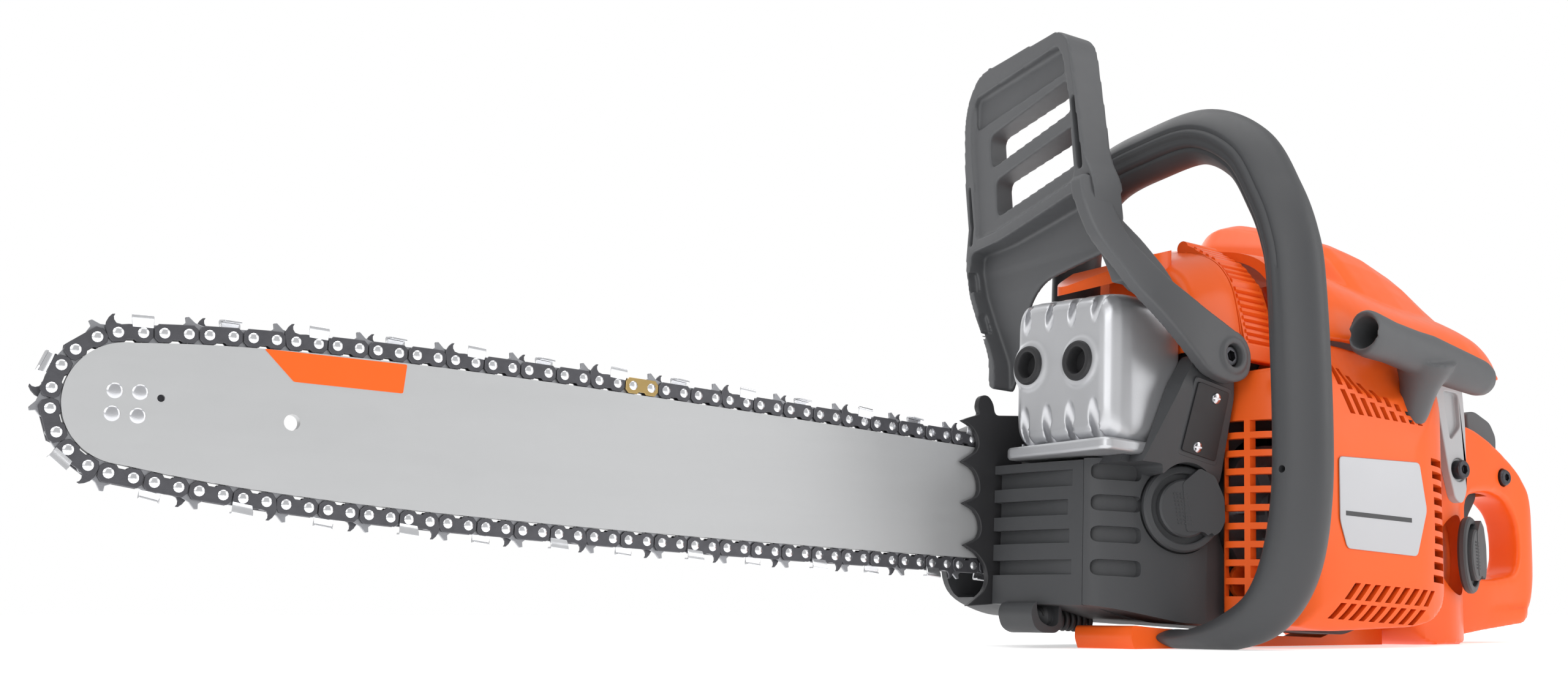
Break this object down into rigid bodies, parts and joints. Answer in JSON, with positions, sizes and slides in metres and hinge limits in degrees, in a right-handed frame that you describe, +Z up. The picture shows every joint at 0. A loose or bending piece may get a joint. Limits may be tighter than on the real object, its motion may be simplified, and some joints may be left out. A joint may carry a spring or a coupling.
{
  "type": "chainsaw",
  "caption": "Petrol chainsaw with a guide bar and chain, a wrap-round front handle with a pivoting hand guard, a looped rear handle and a recoil starter.",
  "frame": {"origin": "middle of the saw's footprint box, on the ground it stands on", "axes": "+Z up, -X along the bar toward its tip, -Y toward the recoil starter side, +Y toward the clutch side; the bar's tip is lifted 3.2 degrees"},
  "size_m": [0.8152, 0.2232, 0.2955],
  "materials": {
    "orange_plastic": "glossy moulded plastic",
    "grey_plastic": "fine matt grain",
    "dark_housing": "satin glass-filled plastic",
    "black_plastic": "matt",
    "light_grey_plastic": "satin",
    "bar_steel": "ground satin",
    "dark_steel": "oiled dark steel",
    "bright_steel": "machined",
    "stamped_steel": "stamped sheet, heat stained at one side",
    "black_steel": "black coated",
    "cast_alloy": "cast",
    "black_rubber": "matt",
    "ceramic_white": "glazed",
    "label_white": "printed film",
    "black_plate": "satin black with plain light rules"
  },
  "bodies": {
    "powerhead": {"guide_bar": "bar_steel", "saw_chain": "dark_steel", "crankcase_right": "dark_housing", "crankcase_left": "dark_housing", "cylinder": "cast_alloy", "recoil_spring": "bright_steel", "ignition_coil": "black_plastic", "spark_plug": "ceramic_white", "intake_boot": "black_rubber", "carburetor": "cast_alloy", "air_filter": "light_grey_plastic", "brake_band": "bright_steel", "oil_pump": "cast_alloy", "bar_stud_front": "bright_steel", "bar_stud_rear": "bright_steel", "clutch_cover": "dark_housing", "muffler": "stamped_steel", "exhaust_gasket": "dark_steel", "spike_bumper": "black_steel", "starter_cover": "orange_plastic", "cover_screw_top": "dark_steel", "cover_screw_bottom": "dark_steel", "label_plate": "label_white", "cylinder_cover": "orange_plastic", "fuel_tank_handle": "orange_plastic", "handle_screw": "dark_steel", "front_handle": "grey_plastic", "guard_pivot_screw": "dark_steel", "rear_bracket": "light_grey_plastic", "bracket_bolt": "dark_steel", "av_spring_front": "black_steel", "rating_plate": "black_plate"},
    "hand_guard": {"front_hand_guard": "grey_plastic"},
    "trigger": {"throttle_trigger": "black_plastic"},
    "lockout": {"throttle_lockout": "grey_plastic"},
    "choke": {"choke_control": "black_plastic"},
    "oil_filler_cap": {"oil_cap": "dark_housing"},
    "fuel_filler_cap": {"fuel_cap": "dark_housing"},
    "pull_grip": {"starter_grip": "grey_plastic"},
    "rope_pulley": {"starter_pulley": "black_plastic"},
    "crankshaft": {"crank_half_starter": "bright_steel", "crank_half_clutch": "bright_steel", "flywheel": "cast_alloy", "clutch_hub": "bright_steel"},
    "drum": {"clutch_drum": "dark_steel"},
    "nose_wheel": {"nose_sprocket": "dark_steel"},
    "piston_and_rod": {"piston": "cast_alloy", "connecting_rod": "bright_steel"},
    "side_latch": {"latch_left": "orange_plastic"},
    "clutch_side_latch": {"latch_right": "orange_plastic"},
    "back_latch": {"latch_rear": "orange_plastic"}
  },
  "joints": [
    {"name": "guard_brake", "type": "hinge", "parent": "powerhead", "child": "hand_guard", "pos_m": [0.0993, -0.04843, 0.13624], "axis": [0, -1, 0], "range_deg": [0, 12]},
    {"name": "trigger_pull", "type": "hinge", "parent": "powerhead", "child": "trigger", "pos_m": [0.35112, 0.00857, 0.09011], "axis": [0, -1, 0], "range_deg": [0, 14], "stiffness_Nm_per_rad": 0.12, "springref_deg": -22.92},
    {"name": "lockout_press", "type": "hinge", "parent": "powerhead", "child": "lockout", "pos_m": [0.37842, 0.00857, 0.11262], "axis": [0, -1, 0], "range_deg": [0, 7], "stiffness_Nm_per_rad": 0.12, "springref_deg": -22.92},
    {"name": "choke_pull", "type": "slide", "parent": "powerhead", "child": "choke", "axis": [0.0558, 0, 0.9984], "range_m": [0, 0.008]},
    {"name": "oil_cap_turn", "type": "hinge", "parent": "powerhead", "child": "oil_filler_cap", "pos_m": [0.0853, -0.03043, 0.06491], "axis": [-0.2919, -0.9563, 0.0163], "range_deg": [0, 90]},
    {"name": "fuel_cap_turn", "type": "hinge", "parent": "powerhead", "child": "fuel_filler_cap", "pos_m": [0.29563, -0.03443, 0.04714], "axis": [0.4061, -0.9135, -0.0227], "range_deg": [0, 90]},
    {"name": "rope_pull", "type": "slide", "parent": "powerhead", "child": "pull_grip", "axis": [0.0129, -0.4164, 0.9091], "range_m": [0, 0.7], "stiffness_N_per_m": 8, "springref_m": -0.4},
    {"name": "pulley_turn", "type": "hinge", "parent": "powerhead", "child": "rope_pulley", "pos_m": [0.14632, -0.05543, 0.0635], "axis": [0, 1, 0], "range_deg": [0, 2010]},
    {"name": "crank_spin", "type": "hinge", "parent": "powerhead", "child": "crankshaft", "pos_m": [0.14632, -0.00143, 0.0635], "axis": [0, 1, 0], "continuous": true},
    {"name": "drum_spin", "type": "hinge", "parent": "powerhead", "child": "drum", "pos_m": [0.14632, 0.06557, 0.0635], "axis": [0, 1, 0], "continuous": true},
    {"name": "nose_spin", "type": "hinge", "parent": "powerhead", "child": "nose_wheel", "pos_m": [-0.37287, 0.05157, 0.09253], "axis": [0, 1, 0], "continuous": true},
    {"name": "piston_stroke", "type": "slide", "parent": "powerhead", "child": "piston_and_rod", "axis": [0.0558, 0, 0.9984], "range_m": [-0.015, 0.015]},
    {"name": "side_latch_open", "type": "hinge", "parent": "powerhead", "child": "side_latch", "pos_m": [0.12881, -0.00643, 0.19819], "axis": [-0.9984, 0, 0.0558], "range_deg": [0, 60]},
    {"name": "clutch_side_latch_open", "type": "hinge", "parent": "powerhead", "child": "clutch_side_latch", "pos_m": [0.1529, 0.07557, 0.18132], "axis": [0.9984, 0, -0.0558], "range_deg": [0, 60]},
    {"name": "back_latch_open", "type": "hinge", "parent": "powerhead", "child": "back_latch", "pos_m": [0.31284, 0.00957, 0.17037], "axis": [0, -1, 0], "range_deg": [0, 60]}
  ],
  "couplings": [
    {"joint": "pulley_turn", "follows": "rope_pull", "rad_per_m": 50},
    {"joint": "nose_spin", "follows": "drum_spin", "ratio": 0.7}
  ]
}
